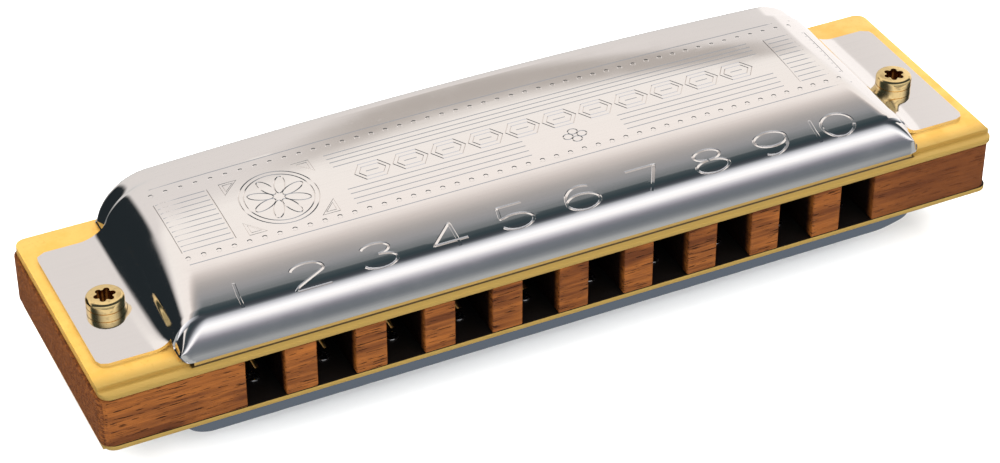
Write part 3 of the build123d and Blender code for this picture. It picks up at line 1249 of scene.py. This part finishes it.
HEAD_ROUND = 0.4 * MM
HEAD_TOP = HEAD_HIGH.z - 0.2 * MM
HEAD_BASE = FLANGE_LEVEL * MM
STAR_TIP = 1.15 * MM
STAR_LOBE = 0.33 * MM
STAR_DEPTH = 0.9 * MM
HEAD_CLEAR = 0.08 * MM
GROOVE_LOW = HEAD_BASE + 0.42 * MM
GROOVE_HIGH = HEAD_BASE + 0.52 * MM
GROOVE_DEPTH = 0.12 * MM
SHANK_RADIUS = 0.95 * MM
SHANK_TOP = HEAD_BASE + 0.3 * MM
NUT_ROUND = 0.4 * MM
NUT_BORE = 1.0 * MM
NUT_EDGE = 0.04 * MM
DRIVER_SLOT = (0.4 * MM, 4 * MM, 0.5 * MM)


def star_tool(x, y, top):
    """A six lobed punch for the recess."""
    reach = STAR_TIP - STAR_LOBE
    low, high = top - STAR_DEPTH, top + MM
    tool = rod("star", x, y, low, high, reach, 36)
    for turn in range(6):
        angle = math.radians(60 * turn)
        across, along = x + reach * math.cos(angle), y + reach * math.sin(angle)
        carve(tool, rod("lobe", across, along, low, high, STAR_LOBE, 20), "UNION")
    return tool


class HARMONICA_OT_screws(bpy.types.Operator):
    """Two cover screws with a six lobed recess, and their slotted nuts"""

    bl_idname = "harmonica.screws"
    bl_label = "Cover screws and nuts"

    def execute(self, context):
        x, y = -SCREW_X, SCREW_Y
        radius = (HEAD_HIGH.x - HEAD_LOW.x) / 2 - HEAD_CLEAR
        head = rod("cover_screw_left_head", x, y, HEAD_BASE, HEAD_TOP, radius, 72)
        round_rim(head, HEAD_TOP, HEAD_ROUND)
        groove = rod("groove", x, y, GROOVE_LOW, GROOVE_HIGH, radius + MM, 72)
        carve(groove, rod("core", x, y, HEAD_BASE, HEAD_TOP, radius - GROOVE_DEPTH, 72))
        carve(head, groove)
        carve(head, star_tool(x, y, HEAD_TOP))
        carve(head, rod("shank", x, y, HEAD_LOW.z, SHANK_TOP, SHANK_RADIUS, 40), "UNION")
        smooth(head, 35)
        nut = rod("cover_nut_left_turned", x, y, NUT_LOW.z, NUT_HIGH.z, (NUT_HIGH.x - NUT_LOW.x) / 2, 72)
        round_rim(nut, NUT_LOW.z, NUT_ROUND)
        carve(nut, rod("bore", x, y, NUT_LOW.z - MM, NUT_HIGH.z + MM, NUT_BORE, 40))
        half, reach, deep = DRIVER_SLOT
        slot_low = (x - half, y - reach, NUT_LOW.z - MM)
        slot_high = (x + half, y + reach, NUT_LOW.z + deep)
        carve(nut, block("slot", slot_low, slot_high))
        soften(nut, NUT_EDGE, angle=50)
        smooth(nut, 35)
        pieces = {"cover_screw_left": head, "cover_nut_left": nut}
        pieces["cover_screw_right"] = moved_twin(head, "cover_screw_right_head", 2 * SCREW_X)
        pieces["cover_nut_right"] = moved_twin(nut, "cover_nut_right_turned", 2 * SCREW_X)
        for node, piece in pieces.items():
            place_piece(piece, "screw_brass", node)
        return {"FINISHED"}


# ---------------------------------------------------------------------------
# Reeds, rivets and plate screws keep their own shapes and get their finishes
# ---------------------------------------------------------------------------


class HARMONICA_OT_reeds(bpy.types.Operator):
    """Finishes of the reeds, pads, rivets and reed plate screws"""

    bl_idname = "harmonica.reeds"
    bl_label = "Reeds and rivets"

    def execute(self, context):
        tongues = [f"{row}_reed_{number}" for row in ("blow", "draw") for number in range(1, HOLES + 1)]
        finishes = {
            "plate_screw_steel": ["reed_plate_screws"],
            "rivet_steel": ["blow_rivets", "draw_rivets"],
            "reed_brass": ["blow_reed_pads", "draw_reed_pads", *tongues],
        }
        for slot, nodes in finishes.items():
            for node in nodes:
                paint(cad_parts[node], slot)
        return {"FINISHED"}


# ---------------------------------------------------------------------------
# Stage
# ---------------------------------------------------------------------------

CAMERA_PLACE = (-0.1036, -0.21129, 0.1715)
CAMERA_LOOK = (0.3493, 0.7251, -0.5934)
CAMERA_LENS = 99.2
FLOOR_SIZE = 6
FLOOR_GAP = 0.05 * MM
# Soft lamps that aim at the middle: (name, place, size, watts)
LAMPS = (
    ("front_fill", (0.40, -0.65, 0.35), (0.8, 0.5), 8.0),
    ("left_fill", (-0.75, 0.1, 0.25), (0.6, 0.4), 6.0),
    ("top_fill", (0.0, 0.0, 0.8), (1.6, 1.6), 26.0),
)

# Tone of the studio by direction, turning about the comb's length: 0 is behind, 90 above, 180 in front.
# A soft box behind, a dark ceiling, a bright soft box in front and above, and a grey wall in front.
ABOVE = (
    (0, (0.74, 0.73, 0.72)),
    (40.5, (0.84, 0.80, 0.78)),
    (44.5, (1.02, 0.98, 0.94)),
    (55, (1.03, 0.97, 0.93)),
    (57.5, (0.71, 0.65, 0.62)),
    (60, (0.44, 0.42, 0.41)),
    (63, (0.33, 0.34, 0.36)),
    (63.7, (0.21, 0.23, 0.24)),
    (67, (0.07, 0.09, 0.10)),
    (80, (0.04, 0.06, 0.07)),
    (100, (0.05, 0.06, 0.07)),
    (113, (0.09, 0.10, 0.12)),
    (121, (0.23, 0.25, 0.27)),
    (135, (0.71, 0.73, 0.79)),
    (146, (1.21, 1.23, 1.26)),
    (150.5, (1.15, 1.14, 1.15)),
    (153, (0.89, 0.89, 0.93)),
    (154.5, (0.60, 0.59, 0.65)),
    (156, (0.26, 0.26, 0.30)),
    (157.5, (0.18, 0.20, 0.23)),
    (160, (0.17, 0.19, 0.21)),
    (161.5, (0.26, 0.28, 0.30)),
    (163, (0.48, 0.50, 0.50)),
    (180, (0.49, 0.51, 0.52)),
)
# The same below the horizon: -180 is in front, -90 below, 0 behind
BELOW = (
    (-180, (0.49, 0.51, 0.52)),
    (-141, (0.43, 0.46, 0.48)),
    (-112, (0.20, 0.23, 0.27)),
    (-86, (0.13, 0.16, 0.20)),
    (-50, (0.13, 0.15, 0.18)),
    (-20, (0.23, 0.24, 0.24)),
    (0, (0.74, 0.73, 0.72)),
)
BACK_SHADE = (0.52, 0.48, 0.45)
LEFT_SHADE = (0.018, 0.024, 0.028)
RIGHT_GLOW = (1.12, 1.08, 1.06)


def studio_light():
    """Soft boxes as bands of light around the stage, with a dark wall at the left."""
    world = bpy.data.worlds.new("studio")
    bpy.context.scene.world = world
    world.use_nodes = True
    net = Net(world.node_tree)
    direction = net.node("ShaderNodeTexCoord", {}, out=0)
    across, depth, height = net.split(direction)
    turn = height.math("ARCTAN2", height, depth) * (180 / math.pi)
    above = net.ramp(turn / 180, [(degrees / 180, tone) for degrees, tone in ABOVE])
    below = net.ramp(turn / 180 + 1, [(degrees / 180 + 1, tone) for degrees, tone in BELOW])
    glow = net.mix(height.step(-0.004, 0.004), below, above)
    back = across.step(0.24, 0.31) * (1 - across.step(0.455, 0.48))
    back = back * turn.step(37.2, 39.2) * (1 - turn.step(41.6, 44.2))
    glow = net.mix(back, glow, BACK_SHADE)
    left = (-1 * across).step(0.30, 0.42) * (1 - turn.step(32, 42)) * turn.step(-80, -50)
    right = across.step(0.47, 0.56) * (1 - turn.step(36, 52)) * turn.step(-50, -34)
    glow = net.mix(left, glow, LEFT_SHADE)
    glow = net.mix(right, glow, RIGHT_GLOW)
    background = net.tree.nodes.new("ShaderNodeBackground")
    output = net.tree.nodes.new("ShaderNodeOutputWorld")
    net.tree.links.new(glow.socket, background.inputs[0])
    net.tree.links.new(background.outputs[0], output.inputs[0])


def soft_lamp(name, place, size, watts):
    """A large lamp that polished metal doesn't mirror."""
    lamp = bpy.data.lights.new(name, "AREA")
    lamp.shape = "RECTANGLE"
    lamp.size, lamp.size_y = size
    lamp.energy = watts
    holder = bpy.data.objects.new(name, lamp)
    holder.location = place
    holder.rotation_euler = (-Vector(place)).to_track_quat("-Z", "Y").to_euler()
    holder.visible_glossy = False
    bpy.context.collection.objects.link(holder)


class HARMONICA_OT_stage(bpy.types.Operator):
    """Pale floor, soft studio light and the camera"""

    bl_idname = "harmonica.stage"
    bl_label = "Stage"

    def execute(self, context):
        level = CAD_BOX[0][2] - FLOOR_GAP
        bpy.ops.object.select_all(action="DESELECT")
        bpy.ops.mesh.primitive_plane_add(size=FLOOR_SIZE, location=(0, 0, level))
        settle()
        floor = fresh("studio_floor")
        paint(floor, "studio_paper")
        floor.visible_glossy = False
        studio_light()
        for lamp in LAMPS:
            soft_lamp(*lamp)
        lens = bpy.data.cameras.new("camera")
        lens.lens = CAMERA_LENS
        lens.sensor_width = 36
        lens.clip_start = 0.01
        camera = bpy.data.objects.new("camera", lens)
        camera.location = CAMERA_PLACE
        camera.rotation_euler = Vector(CAMERA_LOOK).to_track_quat("-Z", "Y").to_euler()
        context.collection.objects.link(camera)
        context.scene.camera = camera
        context.scene.view_settings.view_transform = "Standard"
        return {"FINISHED"}


# ---------------------------------------------------------------------------
# Add-on
# ---------------------------------------------------------------------------

OPERATORS = (
    HARMONICA_OT_comb,
    HARMONICA_OT_reed_plates,
    HARMONICA_OT_covers,
    HARMONICA_OT_screws,
    HARMONICA_OT_reeds,
    HARMONICA_OT_stage,
)


class HARMONICA_PT_panel(bpy.types.Panel):
    """Buttons for each piece of the harmonica"""

    bl_idname = "HARMONICA_PT_panel"
    bl_label = "Harmonica"
    bl_space_type = "VIEW_3D"
    bl_region_type = "UI"
    bl_category = "Harmonica"

    def draw(self, context):
        for group in (context.scene.harmonica_sizes, context.scene.harmonica_colours):
            for name in group.bl_rna.properties.keys():
                if name not in ("rna_type", "name"):
                    self.layout.prop(group, name)
        for operator in OPERATORS:
            self.layout.operator(operator.bl_idname)


CLASSES = (HarmonicaSizes, HarmonicaColours, *OPERATORS, HARMONICA_PT_panel)


def register():
    for cls in CLASSES:
        bpy.utils.register_class(cls)
    bpy.types.Scene.harmonica_sizes = bpy.props.PointerProperty(type=HarmonicaSizes)
    bpy.types.Scene.harmonica_colours = bpy.props.PointerProperty(type=HarmonicaColours)


def unregister():
    del bpy.types.Scene.harmonica_sizes
    del bpy.types.Scene.harmonica_colours
    for cls in reversed(CLASSES):
        bpy.utils.unregister_class(cls)


def main():
    register()
    bpy.ops.harmonica.comb()
    bpy.ops.harmonica.reed_plates()
    bpy.ops.harmonica.covers()
    bpy.ops.harmonica.screws()
    bpy.ops.harmonica.reeds()
    bpy.ops.harmonica.stage()


if __name__ == "__main__":
    main()
